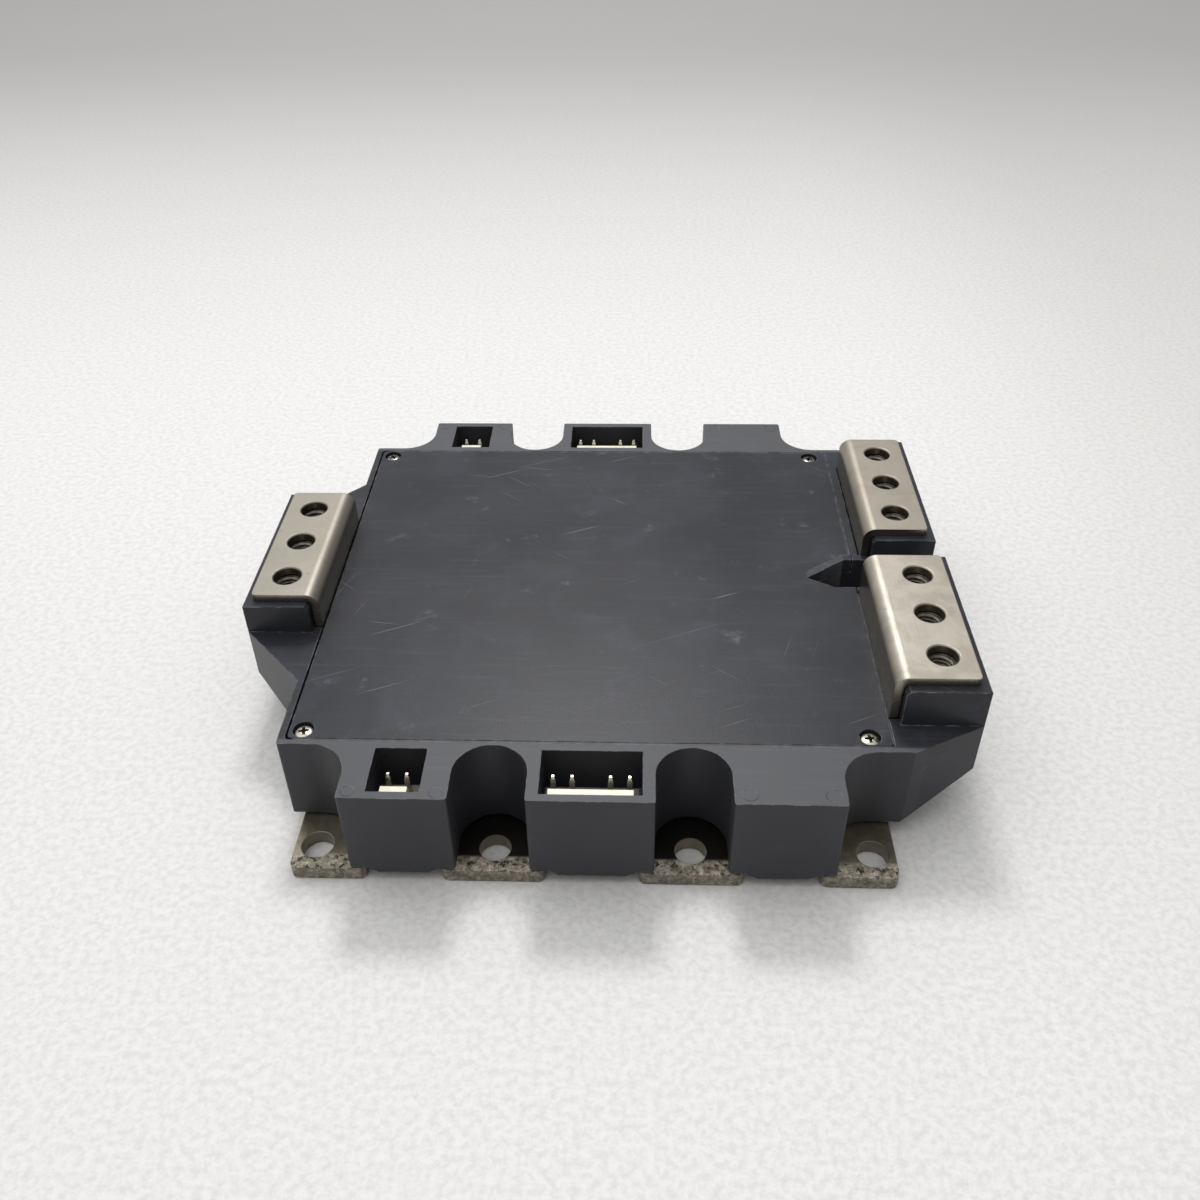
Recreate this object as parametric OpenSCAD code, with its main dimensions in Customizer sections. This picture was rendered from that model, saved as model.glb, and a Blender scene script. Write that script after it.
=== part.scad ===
// Dual IGBT power module: a moulded case on a metal base plate, with screw
// terminals at both ends and plug headers in towers along the front and back.
// X runs from the output terminal to the two supply terminals, Y from front to
// back, Z up. The origin is the centre of the mounting face.

/* [Overall] */
// Length over the terminal posts
overall_x = 166; // [160:1:180]
// Width over the towers
overall_y = 150; // [146:1:170]
// Height of the case rim above the mounting face
rim_z = 25.5; // [24:0.5:32]

/* [Base plate] */
// Plate thickness
plate_t = 3.3; // [2.5:0.1:4.5]
// How far the plate ends stand back from the case end walls
plate_inset = 2.6; // [1.5:0.1:3]
// How far each tab runs under the towers beside it
tab_overlap = 3.2; // [2:0.1:5]
// Depth of the recesses between the tabs
tab_recess = 3.4; // [2.5:0.1:5]
// Corner radius of the tabs
tab_r = 1.5; // [0.5:0.1:2]
// Mounting hole diameter
mount_d = 7; // [5:0.1:8]
// Spacing of the inner mounting holes along X
mount_in_x = 42; // [40:0.5:46]
// Distance from the outer mounting holes to the plate end
mount_end = 4.85; // [4.6:0.05:6]
// Distance from the mounting holes to the tab edge
mount_edge = 6.25; // [5.5:0.05:7]

/* [Case] */
// How far the towers stand out from the body
tower_depth = 14.8; // [14.4:0.1:16]
// Radius of the driver notches between the towers
notch_r = 7.85; // [7:0.05:8.2]
// How far the driver notches bite into the body wall
notch_bite = 0.5; // [0.2:0.1:0.7]
// Radius of the reliefs at the body corners
relief_r = 8.3; // [7.5:0.1:9]
// Thickness of the front and back walls
side_wall = 3.7; // [3.2:0.1:4.5]
// Height of the gap above the plate, filled by the seal
seal_t = 0.6; // [0.3:0.1:1]
// Width of the seal
seal_w = 1.8; // [1:0.1:2]
// How far the tower skirts reach down between the tabs
skirt_drop = 1.5; // [0.4:0.1:2]
// Rounding of the upright case edges
edge_r = 0.6; // [0.2:0.1:1]

/* [Wings] */
// Height of the wings' lower edges at their outer ends
wing_z = 12.6; // [9:0.1:14]
// Half length of the output wing where it leaves the body
wing_root_y = 40.4; // [38:0.2:46]

/* [Creepage slot] */
// Distance from the case end to the tip of the slot
slot_reach = 15.8; // [14:0.2:18]
// Angle of the slot's pointed sides
slot_angle = 30; // [26:1:40]
// How far the tip of the slot lies towards the negative terminal
slot_skew = 0.9; // [0:0.1:1.5]
// Thickness of the slot walls
slot_wall = 1.8; // [1.2:0.1:1.8]
// Width of the creepage rib along the slot
rib_w = 2.1; // [1.5:0.1:2.5]
// Height of the creepage rib
rib_h = 1.5; // [0.5:0.1:3]

/* [Lid] */
// Lid thickness
lid_t = 2.5; // [2:0.1:3]
// Gap around the lid
lid_gap = 0.5; // [0.3:0.05:0.6]
// Corner radius of the lid
lid_r = 1; // [0.5:0.1:2]
// Width of the case rim in front of and behind the lid
lid_rim = 1.3; // [1.2:0.1:1.5]
// Width of the ledge that the lid's ends rest on
lid_ledge = 3; // [2:0.1:3.4]
// Distance from the output side's screws to the lid's end
screw_in_output = 3; // [2.6:0.1:4]
// Distance from the supply side's screws to the lid's end
screw_in_supply = 4.5; // [3:0.1:5]
// Distance from the screws to the front and back of the lid
screw_in_y = 2.5; // [2.4:0.1:4]
// Diameter of the lid screws
screw_d = 2.2; // [1.8:0.1:2.5]
// Length of the lid screws under the head
screw_len = 9; // [6:0.5:12]
// Diameter of the screw heads
screw_head_d = 3.8; // [3.4:0.1:4]
// Height of the screw heads
screw_head_h = 1.2; // [0.8:0.1:1.3]
// Depth of the recesses round the screw heads
screw_sink = 1.5; // [1.3:0.1:1.8]
// Diameter of the recesses round the screw heads
screw_sink_d = 4.6; // [4.3:0.1:4.8]
// Diameter of the screw bosses in the case
boss_d = 6.6; // [5:0.1:7]

/* [Terminals] */
// Thickness of the terminal plates
bar_t = 2; // [1.5:0.1:2.1]
// Width of the gap between the supply posts
post_gap = 9.2; // [8:0.2:11]
// How much narrower the supply posts' outer ends lie than the body, on each side
supply_in = 8; // [7:0.1:9]
// Spacing of the terminal screws
term_pitch = 14.2; // [13:0.1:14.4]
// Clearance hole in the terminals
term_hole_d = 6.6; // [6.4:0.1:7]
// Chamfer round the terminal holes
term_chamfer = 0.3; // [0.1:0.05:0.4]
// Distance from the terminal screws to the flange edge
term_edge = 6.8; // [6.4:0.1:7.2]
// Distance from the terminal screws to the end walls of the body
screw_in = 7.2; // [7:0.1:8]
// Corner radius of the flanges
term_r = 1.2; // [0.5:0.1:2]
// Margin of the posts outside the flanges
post_end = 1.8; // [1:0.1:2]
// Margin of the posts in front of and behind the flanges
post_side = 2.1; // [1.6:0.1:2.4]
// Height of the output and positive posts above the rim
post_h = 7.5; // [6:0.1:12]
// How much taller the negative post is
post_step = 2; // [0:0.1:3]
// Distance of the positive and output legs from the case ends
leg_in = 1.7; // [1.5:0.1:1.9]
// Step from the positive bar to the negative bar
bar_step = 2.3; // [2.2:0.1:2.5]
// Inner bend radius of the terminals
bend_r = 1; // [0.5:0.1:1.5]
// Height of the bus sheets above the gate boards
sheet_h = 0.9; // [0.9:0.1:1.6]
// How far the full width of a bus sheet reaches into the case
sheet_in = 9; // [6:0.5:12]
// Width of the bus strips over the substrates
strip_w = 7; // [6:0.1:7.2]
// Width of the bus feet on the copper
foot_w = 8; // [5:0.5:10]
// Length of the bus feet on the collector pads
foot_long = 5; // [4:0.1:5.5]
// Length of the bus feet on the emitter pads
foot_short = 3.5; // [3:0.1:3.8]
// Thickness of the bus feet
foot_t = 1.5; // [1:0.1:2]

/* [Nuts] */
// Width across flats of the terminal nuts
nut_af = 10; // [9:0.1:10.5]
// Height of the terminal nuts
nut_h = 5; // [3:0.1:5.4]
// Bore of the nuts, the minor diameter of the thread
nut_bore = 5; // [4:0.1:5.4]
// Depth of the free hole below each nut
nut_relief = 5; // [3:0.5:6]

/* [Headers] */
// Pin spacing
pin_pitch = 3.96; // [3.5:0.02:4]
// Positions in the small headers
small_ways = 2; // [2:1:2]
// Positions in the large headers, the middle one empty
large_ways = 5; // [3:2:5]
// Thickness of the square pins
pin_w = 1.14; // [0.8:0.02:1.2]
// Distance from the pins to the tower face
pin_in = 7.9; // [7.6:0.1:8.2]
// Header length beyond the end pins, both ends together
header_ends = 3.9; // [3:0.1:4]
// Length of the header wall beyond the end pins, both ends together
wall_ends = 1.6; // [1:0.1:2.4]
// Depth of the header bases, front to back
header_y = 8.6; // [8:0.1:8.8]
// Height of the header bases
header_base_h = 3.2; // [2.5:0.1:4]
// How far the header walls stand below the rim
header_sink = 0.6; // [0.3:0.1:2]
// Distance from the pins to the outer face of the header wall
header_front = 5.5; // [5.2:0.1:5.6]
// Thickness of the header walls
header_wall = 1.5; // [1:0.1:2]
// How far the latch ramp stands out from the header wall
latch = 1; // [0.5:0.1:1.5]
// Thickness of the tower wall in front of a pocket
pocket_wall = 1.9; // [1.5:0.1:2]
// Gap between a header's wall and its pocket
header_gap = 0.6; // [0.3:0.1:0.8]
// Gap at each end of the small headers
small_gap = 1.57; // [1:0.01:2.5]
// Gap at each end of the large headers
large_gap = 0.68; // [0.4:0.01:1.2]
// Thickness of the pocket floors
pocket_floor = 1.2; // [1:0.1:1.5]

/* [Inside] */
// Height of the gate boards above the plate
board_h = 6.7; // [6.7:0.1:7.4]
// Thickness of the gate boards
board_t = 1.6; // [1:0.1:1.6]
// Width of the gate boards inside the body
board_y = 6.2; // [5.2:0.1:6.4]
// Room for solder joints above the gate boards
joint_h = 1.4; // [1:0.1:1.8]
// Gap between the two columns of substrates
sub_gap_x = 10; // [8:0.5:10]
// Gap between the two rows of substrates
sub_gap_y = 15; // [14.6:0.1:15.4]
// Distance from the substrates to the supply end of the cavity
sub_end = 2.9; // [2:0.1:4]
// Distance from the substrates to the front and back of the cavity
sub_side = 9; // [8:0.2:10]
// Thickness of a ceramic substrate
sub_t = 1; // [0.6:0.1:1.2]
// Bare border of the ceramic
sub_border = 1.5; // [1:0.1:2]
// Thickness of the copper on the ceramic
copper_t = 0.5; // [0.3:0.05:0.6]
// Gap between the copper pads
pad_gap = 1.2; // [0.8:0.1:1.4]
// Width of the emitter pads
emitter_y = 7; // [6.6:0.1:7.4]
// Width of the gate pads
gate_y = 2.6; // [2:0.1:3]
// Thickness of the chips
chip_t = 0.4; // [0.2:0.05:0.5]
// Width of a transistor chip
igbt_w = 9; // [8:0.1:9]
// Width of a diode chip
diode_w = 5.5; // [4.5:0.1:5.5]
// Distance from the collector pad's edge to the chips
chip_in = 4; // [3:0.1:5]
// Gap between the chips and the bus feet beside them
chip_out = 3; // [2:0.1:5]
// Gap between the chips of a pair
chip_gap = 0.85; // [0.6:0.05:0.9]
// Gap between the pairs of chips
pair_gap = 0.45; // [0.3:0.05:0.6]
// Thickness of the bond wires
wire_t = 0.4; // [0.3:0.05:0.5]
// Rise of the bond wires
wire_rise = 2.6; // [2:0.1:3]
// Spacing of the bond wires on a chip
wire_pitch = 2.2; // [1.5:0.1:2.4]
// Thickness of the gate leads
lead_t = 0.8; // [0.6:0.05:0.9]

/* [Hidden] */

$fn = 48;
over = 1;        // how far cutters overshoot the faces they open
clear = 0.3;     // clearance between neighbouring pieces
slip = 0.2;      // clearance round the terminal legs

// Half sizes of the main outlines
end_x = overall_x / 2;
face_y = overall_y / 2;
flange_x = end_x - post_end;
screw_row = flange_x - term_edge;
body_hx = screw_row - screw_in;
body_hy = face_y - tower_depth;
plate_hx = body_hx - plate_inset;
well_hy = body_hy - side_wall;

// Mounting holes, driver notches and corner reliefs share their centres
mount_y = face_y - mount_edge;
notch_x = mount_in_x / 2;
notch_y = body_hy - notch_bite + notch_r;
corner_x = plate_hx - mount_end;
corner_y = body_hy + relief_r;

// Edges of the middle and side towers
mid_x = notch_x - notch_r;
side_x0 = notch_x + notch_r;
side_x1 = corner_x - relief_r;

// Heights of the seams and of what stands on the plate
case_z = plate_t + seal_t;
lid_z = rim_z - lid_t;
copper_z = plate_t + sub_t;
chip_z = copper_z + copper_t;
bond_z = chip_z + chip_t;
board_z = plate_t + board_h;
lead_z = board_z - clear - lead_t;
pocket_z = board_z + board_t + joint_h + pocket_floor;
sheet_z = board_z + board_t + sheet_h;

// Inward faces of the terminal legs, tops of the posts, and ends of the terminals
leg_out = body_hx - leg_in;
leg_neg = leg_out - bar_step;
post_z = rim_z + post_h;
slot_hy = post_gap / 2;
supply_y0 = slot_hy + post_side;
supply_y1 = body_hy - supply_in - post_side;
supply_y = (supply_y0 + supply_y1) / 2;
term_y = supply_y1 - supply_y0;

// Lid and cavity
lid_x0 = -(leg_out - clear);
lid_x1 = leg_neg - clear;
lid_hy = body_hy - lid_rim - lid_gap;
well_x0 = lid_x0 + lid_ledge;
well_x1 = lid_x1 - lid_ledge;
screw_spots = [for (x = [lid_x0 + screw_in_output, lid_x1 - screw_in_supply], s = [-1, 1])
    [x, s * (lid_hy - screw_in_y)]];

// Slot between the supply posts: its sides line up with the posts
slot_tip = [body_hx - slot_reach, -slot_skew];
slot_neg = [slot_tip[0] + (slot_hy - slot_skew) / tan(slot_angle), -slot_hy];
slot_pos = [slot_tip[0] + (slot_hy + slot_skew) / tan(slot_angle), slot_hy];
slot_floor = sheet_z + clear;

// Centres of the headers
small_x = -(side_x0 + side_x1) / 2;
pin_y = face_y - pin_in;
pocket_y1 = face_y - pocket_wall;
pocket_y0 = pin_y - header_front - header_gap;
small_hx = header_hx(small_ways) + small_gap;
large_hx = header_hx(large_ways) + large_gap;

// Gate boards
tongue_gap = 0.5;
tongue_y = pocket_y1 - tongue_gap;
board_y1 = well_hy - clear;
board_y0 = board_y1 - board_y;
lead_y = board_y0 + board_y / 3;

// Substrates: size, centres, and pads as [front, back] in a substrate's own frame
sub_x = well_x1 - sub_end - sub_gap_x / 2;
sub_y = well_hy - sub_side - sub_gap_y / 2;
sub_cx = (sub_gap_x + sub_x) / 2;
sub_cy = (sub_gap_y + sub_y) / 2;
emitter_pad = [-sub_y / 2 + sub_border, -sub_y / 2 + sub_border + emitter_y];
gate_pad = [emitter_pad[1] + pad_gap, emitter_pad[1] + pad_gap + gate_y];
collector_pad = [gate_pad[1] + pad_gap, sub_y / 2 - sub_border];
pad_hx = sub_x / 2 - sub_border;

// Chips: as many pairs as fit on a pad, clear of the bus feet
chip_y0 = collector_pad[0] + chip_in;
chip_y1 = collector_pad[1] - bar_t - foot_long - chip_out;
chip_pitch = igbt_w + chip_gap + diode_w + pair_gap;
pairs = floor((2 * (pad_hx - clear) + pair_gap) / chip_pitch);
last_x = (pairs - 1) / 2 * chip_pitch;
igbt_x = -(diode_w + chip_gap) / 2;
diode_x = (igbt_w + chip_gap) / 2;

// Bond wires across a chip pair, and the leads of the left and right substrates
// placed between them
gate_wire_x = igbt_x - igbt_w / 2 + 2 * wire_t;
source_wire_x = igbt_x - wire_pitch / 2;
gate_lead_left = -sub_cx + last_x + diode_x;
gate_lead_right = sub_cx - last_x + (gate_wire_x + source_wire_x) / 2;
sense_lead_x = sub_cx - pad_hx + lead_t;

// Colours
plastic = [0.23, 0.23, 0.26];
nickel = [0.72, 0.68, 0.61];
ivory = [0.94, 0.91, 0.82];
copper = [0.80, 0.47, 0.29];

// ---------- helpers ----------

// Rectangle from p to q with rounded corners
module round_rect(p, q, r) {
    translate([p[0] + r, p[1]]) square([q[0] - p[0] - 2 * r, q[1] - p[1]]);
    translate([p[0], p[1] + r]) square([q[0] - p[0], q[1] - p[1] - 2 * r]);
    for (x = [p[0] + r, q[0] - r], y = [p[1] + r, q[1] - r]) translate([x, y]) circle(r = r);
}

// Block from p to q
module block(p, q) {
    translate(p) cube(q - p);
}

// Quarter ring about c, in the quadrant given by the signs sx and sy
module quarter_ring(c, r0, r1, sx, sy) {
    translate(c) intersection() {
        difference() {
            circle(r = r1);
            circle(r = r0);
        }
        scale([sx, sy]) square(r1 + over);
    }
}

// Lays a plan in XZ and extrudes it along Y from y0 to y1
module along_y(y0, y1) {
    translate([0, y1, 0]) rotate([90, 0, 0]) linear_extrude(y1 - y0) children();
}

// Extrudes a plan in YZ along X over a width w centred on x
module along_x(x, w) {
    translate([x - w / 2, 0, 0]) rotate([90, 0, 90]) linear_extrude(w) children();
}

// The front half and its mirror image at the back
module both_sides() {
    children();
    mirror([0, 1, 0]) children();
}

module both_ends() {
    children();
    mirror([1, 0, 0]) children();
}

// ---------- base plate ----------

module mount_holes_2d() {
    for (x = [notch_x, corner_x], s = [-1, 1], t = [-1, 1])
        translate([s * x, t * mount_y]) circle(d = mount_d);
}

module base_plate() {
    root_y = face_y - tab_recess;
    color(nickel) linear_extrude(plate_t) difference() {
        union() {
            translate([-plate_hx, -root_y]) square([2 * plate_hx, 2 * root_y]);
            both_sides() both_ends() {
                round_rect([mid_x - tab_overlap, 0], [side_x0 + tab_overlap, face_y], tab_r);
                round_rect([side_x1 - tab_overlap, 0], [plate_hx, face_y], tab_r);
            }
        }
        mount_holes_2d();
    }
}

module case_seal() {
    color([0.85, 0.85, 0.83]) translate([0, 0, plate_t]) linear_extrude(seal_t) difference() {
        translate([well_x0 - seal_w, -well_hy - seal_w])
            square([well_x1 - well_x0 + 2 * seal_w, 2 * (well_hy + seal_w)]);
        translate([well_x0, -well_hy]) square([well_x1 - well_x0, 2 * well_hy]);
    }
}

// ---------- case ----------

// Body with its six towers, driver notches and corner reliefs
module case_plan() {
    difference() {
        union() {
            round_rect([-body_hx, -body_hy], [body_hx, body_hy], edge_r);
            both_sides() {
                round_rect([-mid_x, 0], [mid_x, face_y], edge_r);
                translate([-corner_x, 0]) square([2 * corner_x, corner_y]);
                both_ends() round_rect([side_x0, 0], [side_x1, face_y], edge_r);
            }
        }
        both_sides() both_ends() {
            translate([notch_x, notch_y]) circle(r = notch_r);
            translate([notch_x - notch_r, notch_y]) square([2 * notch_r, face_y]);
            translate([corner_x, corner_y]) circle(r = relief_r);
        }
    }
}

// Skirt that reaches down between two tabs, with sloping ends
module skirt(x0, x1) {
    slope = 1.7 * skirt_drop;
    low = case_z - skirt_drop;
    along_y(face_y - tab_recess + clear, face_y) polygon([
        [x0 + clear, case_z + over], [x0 + clear, case_z], [x0 + clear + slope, low],
        [x1 - clear - slope, low], [x1 - clear, case_z], [x1 - clear, case_z + over]]);
}

// Wing at the +X end: a plan with slanted ends, cut by a slanted underside
module wing(root_y, tip_y) {
    root_z = case_z + clear;
    intersection() {
        linear_extrude(rim_z) polygon([
            [body_hx - over, -root_y], [body_hx, -root_y], [end_x, -tip_y],
            [end_x, tip_y], [body_hx, root_y], [body_hx - over, root_y]]);
        along_y(-root_y, root_y) polygon([
            [body_hx - over, root_z], [body_hx, root_z], [end_x, wing_z],
            [end_x, rim_z], [body_hx - over, rim_z]]);
    }
}

// Post under a terminal whose leg has its inward face at leg, with its inner edge
// cut back for the bend
module post(leg, y0, y1, top) {
    x0 = leg + bar_t + slip;
    along_y(y0, y1) polygon([[x0, rim_z - over], [end_x, rim_z - over], [end_x, top],
        [leg + bar_t + bend_r, top], [x0, top - bend_r]]);
}

// Pockets for three nuts, with free holes below them
module nut_pockets(yc, top) {
    for (i = [-1, 0, 1]) translate([screw_row, yc + i * term_pitch, top - nut_h - clear]) {
        cylinder(d = (nut_af + clear) / cos(30), h = nut_h + clear + over, $fn = 6);
        translate([0, 0, -nut_relief]) cylinder(d = term_hole_d, h = nut_relief + over);
    }
}

// Pocket for a terminal's leg, and the slot that lets its bus sheet through
module leg_pocket(leg, y0, y1, low) {
    top = rim_z + rib_h + over;
    along_y(y0 - slip, y1 + slip) polygon([
        [well_x0, low - slip], [leg + bar_t + slip, low - slip], [leg + bar_t + slip, top],
        [leg - slip, top], [leg - slip, low + bar_t + bend_r],
        [leg - bend_r, low + bar_t + slip], [well_x0, low + bar_t + slip]]);
}

// Outline of the slot, grown by w
function slot_outline(w) = [
    [slot_tip[0] - w / sin(slot_angle), slot_tip[1]],
    [slot_pos[0] - w * tan(slot_angle / 2), slot_hy + w],
    [end_x + over, slot_hy + w], [end_x + over, -slot_hy - w],
    [slot_neg[0] - w * tan(slot_angle / 2), -slot_hy - w]];

// Stretch from x0 to x1 of the creepage rib on the slot's positive side, which
// rises from the tip of the slot
module slot_rib(x0, x1) {
    top = rim_z + rib_h;
    intersection() {
        translate([0, 0, lid_z]) linear_extrude(lid_t + rib_h) difference() {
            polygon(slot_outline(rib_w));
            polygon(slot_outline(0));
        }
        along_y(slot_tip[1], body_hy) polygon([
            [slot_tip[0], lid_z], [slot_tip[0], rim_z], [slot_pos[0], top],
            [body_hx, top], [body_hx, lid_z]]);
        block([x0, slot_tip[1], lid_z], [x1, body_hy, top]);
    }
}

// Cavity for the power circuit, with the slot's well and the screw bosses left in
module cavity() {
    difference() {
        block([well_x0, -well_hy, 0], [well_x1, well_hy, lid_z + over]);
        translate([0, 0, slot_floor - slot_wall]) linear_extrude(lid_z - slot_floor + slot_wall)
            polygon(slot_outline(slot_wall));
        for (p = screw_spots) translate(p) cylinder(d = boss_d, h = lid_z);
    }
}

module lid_recess() {
    translate([0, 0, lid_z]) linear_extrude(lid_t + over)
        round_rect([lid_x0 - lid_gap, -lid_hy - lid_gap], [lid_x1 + clear, lid_hy + lid_gap], lid_r);
}

// Pocket for a header in a back tower, the chamber for the gate board's tongue
// below it, and the holes for the pins between them
module header_pocket(x, pocket_hx, ways) {
    tongue = pocket_hx - tongue_gap + clear;
    block([x - pocket_hx, pocket_y0, pocket_z], [x + pocket_hx, pocket_y1, rim_z + over]);
    block([x - tongue, well_hy - over, board_z],
        [x + tongue, tongue_y + clear, pocket_z - pocket_floor]);
    for (p = pin_spots(x, ways))
        translate([p - pin_w / 2 - slip, pin_y - pin_w / 2 - slip, board_z])
            cube([pin_w + 2 * slip, pin_w + 2 * slip, pocket_z]);
}

module case_frame() {
    color(plastic) difference() {
        union() {
            slot_rib(lid_x1 + clear, body_hx);
            translate([0, 0, case_z]) linear_extrude(rim_z - case_z) case_plan();
            both_sides() {
                skirt(-(mid_x - tab_overlap), mid_x - tab_overlap);
                both_ends() skirt(side_x0 + tab_overlap, side_x1 - tab_overlap);
            }
            wing(body_hy, supply_y1 + post_side);
            mirror([1, 0, 0]) wing(wing_root_y, term_y / 2 + post_side);
            post(leg_out, slot_hy, supply_y1 + post_side, post_z);
            mirror([0, 1, 0]) post(leg_neg, slot_hy, supply_y1 + post_side, post_z + post_step);
            mirror([1, 0, 0])
                post(leg_out, -term_y / 2 - post_side, term_y / 2 + post_side, post_z);
        }
        cavity();
        lid_recess();
        translate([0, 0, slot_floor]) linear_extrude(post_z) polygon(slot_outline(0));
        block([body_hx, -slot_hy, 0], [end_x + over, slot_hy, rim_z]);
        both_sides() {
            header_pocket(small_x, small_hx, small_ways);
            header_pocket(0, large_hx, large_ways);
        }
        leg_pocket(leg_out, supply_y0, supply_y1, sheet_z);
        mirror([0, 1, 0]) leg_pocket(leg_neg, supply_y0, supply_y1, sheet_z + bar_step);
        mirror([1, 0, 0]) leg_pocket(leg_out, -term_y / 2, term_y / 2, sheet_z);
        nut_pockets(supply_y, post_z);
        nut_pockets(-supply_y, post_z + post_step);
        mirror([1, 0, 0]) nut_pockets(0, post_z);
        for (p = screw_spots) translate([p[0], p[1], lid_z - screw_len])
            cylinder(d = screw_d + slip, h = screw_len + over);
    }
}

// ---------- lid ----------

module lid() {
    color(plastic) difference() {
        union() {
            translate([0, 0, lid_z]) linear_extrude(lid_t) difference() {
                round_rect([lid_x0, -lid_hy], [lid_x1, lid_hy], lid_r);
                polygon(slot_outline(0));
            }
            slot_rib(slot_tip[0], lid_x1);
        }
        for (p = screw_spots) translate([p[0], p[1], rim_z - screw_sink]) {
            cylinder(d = screw_sink_d, h = screw_sink + over);
            translate([0, 0, -lid_t]) cylinder(d = screw_d + clear, h = lid_t + over);
        }
    }
}

module lid_screws() {
    color(nickel) for (p = screw_spots) translate([p[0], p[1], rim_z - screw_sink]) {
        cylinder(d = screw_head_d, h = screw_head_h);
        translate([0, 0, -screw_len]) cylinder(d = screw_d, h = screw_len);
    }
}

// ---------- terminals ----------

// Section of a terminal at the +X end: flange, leg and bus sheet
module bar_section(leg, top, low) {
    r = bend_r + bar_t;
    translate([leg + r, top - bar_t]) square([flange_x - leg - r, bar_t]);
    quarter_ring([leg + r, top - r], bend_r, r, -1, 1);
    translate([leg, low + r]) square([bar_t, top - low - 2 * r]);
    quarter_ring([leg - bend_r, low + r], bend_r, r, 1, -1);
    translate([-end_x, low]) square([end_x + leg - bend_r, bar_t]);
}

// Plan of a terminal: the full width, then a strip to x0 between ya and yb
module bar_plan(y0, y1, x0, ya, yb) {
    round_rect([well_x1 - sheet_in, y0], [flange_x, y1], term_r);
    translate([x0, ya]) square([well_x1 - sheet_in - x0 + over + term_r, yb - ya]);
}

// Terminal at the +X end, centred on yc, with its strip from x0 between ya and yb
module terminal_bar(leg, yc, top, low, x0, ya, yb) {
    difference() {
        intersection() {
            along_y(-face_y, face_y) bar_section(leg, top, low);
            linear_extrude(top + over) bar_plan(yc - term_y / 2, yc + term_y / 2, x0, ya, yb);
        }
        for (i = [-1, 0, 1]) translate([screw_row, yc + i * term_pitch, top - bar_t]) {
            translate([0, 0, -over]) cylinder(d = term_hole_d, h = bar_t + 2 * over);
            translate([0, 0, bar_t - term_chamfer])
                cylinder(d1 = term_hole_d, d2 = term_hole_d + 2 * term_chamfer, h = term_chamfer);
        }
    }
}

// Foot on a copper pad, from y0 to y1, hung from a sheet at low; the drop is at
// the end given by side
module foot(x, y0, y1, side, low) {
    drop0 = side > 0 ? y1 - bar_t : y0;
    block([x - foot_w / 2, y0, chip_z], [x + foot_w / 2, y1, chip_z + foot_t]);
    block([x - foot_w / 2, drop0, chip_z], [x + foot_w / 2, drop0 + bar_t, low + bar_t / 2]);
}

strip_x = sub_cx + foot_w / 2;
collector_y1 = sub_cy + collector_pad[1] - bar_t;
emitter_y0 = sub_cy + emitter_pad[0] + clear;
emitter_low_y = -sub_cy + emitter_pad[0] + clear + foot_short;

module terminal_positive() {
    color(nickel) {
        terminal_bar(leg_out, supply_y, post_z + bar_t, sheet_z, -strip_x,
            collector_y1 - bar_t, collector_y1 - bar_t + strip_w);
        for (s = [-1, 1])
            foot(s * sub_cx, collector_y1 - foot_long, collector_y1, 1, sheet_z);
    }
}

module terminal_negative() {
    low = sheet_z + bar_step;
    color(nickel) {
        terminal_bar(leg_neg, -supply_y, post_z + post_step + bar_t, low, -strip_x,
            emitter_low_y - strip_w, emitter_low_y);
        for (s = [-1, 1])
            foot(s * sub_cx, emitter_low_y - foot_short, emitter_low_y, 1, low);
    }
}

module terminal_output() {
    out_y = emitter_y0 + bar_t;
    color(nickel) {
        mirror([1, 0, 0])
            terminal_bar(leg_out, 0, post_z + bar_t, sheet_z, -strip_x, -out_y, out_y);
        for (s = [-1, 1]) {
            foot(s * sub_cx, emitter_y0, emitter_y0 + foot_short, -1, sheet_z);
            foot(s * sub_cx, -emitter_y0 - foot_long, -emitter_y0, 1, sheet_z);
        }
    }
}

module nut_row(x, yc, top) {
    color(nickel) for (i = [-1, 0, 1])
        translate([x, yc + i * term_pitch, top - nut_h - clear]) difference() {
            cylinder(d = nut_af / cos(30), h = nut_h, $fn = 6);
            translate([0, 0, -over]) cylinder(d = nut_bore, h = nut_h + 2 * over);
        }
}

module nuts_positive() nut_row(screw_row, supply_y, post_z);
module nuts_negative() nut_row(screw_row, -supply_y, post_z + post_step);
module nuts_output() nut_row(-screw_row, 0, post_z);

// ---------- headers ----------

function pin_spots(x, ways) = [for (i = [0:ways - 1]) if (2 * i != ways - 1)
    x + (i - (ways - 1) / 2) * pin_pitch];

// Half length of a header's base
function header_hx(ways) = ((ways - 1) * pin_pitch + header_ends) / 2;

// Header with its wall towards the front, its pins at y
module header(x, y, ways) {
    base_hx = header_hx(ways);
    wall_x = (ways - 1) * pin_pitch + wall_ends;
    y0 = y - header_front;
    top = rim_z - header_sink;
    color(ivory) difference() {
        union() {
            block([x - base_hx, y0, pocket_z],
                [x + base_hx, y0 + header_y, pocket_z + header_base_h]);
            block([x - wall_x / 2, y0, pocket_z], [x + wall_x / 2, y0 + header_wall, top]);
            along_x(x, wall_x) polygon([
                [y0, top - 2 * latch], [y0 + header_wall, top - 3 * latch],
                [y0 + header_wall + latch, top - 2 * latch],
                [y0 + header_wall, top - latch / 2], [y0, top - latch / 2]]);
        }
        for (p = pin_spots(x, ways))
            translate([p - pin_w / 2 - slip / 2, y - pin_w / 2 - slip / 2, 0])
                cube([pin_w + slip, pin_w + slip, rim_z]);
    }
}

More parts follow.
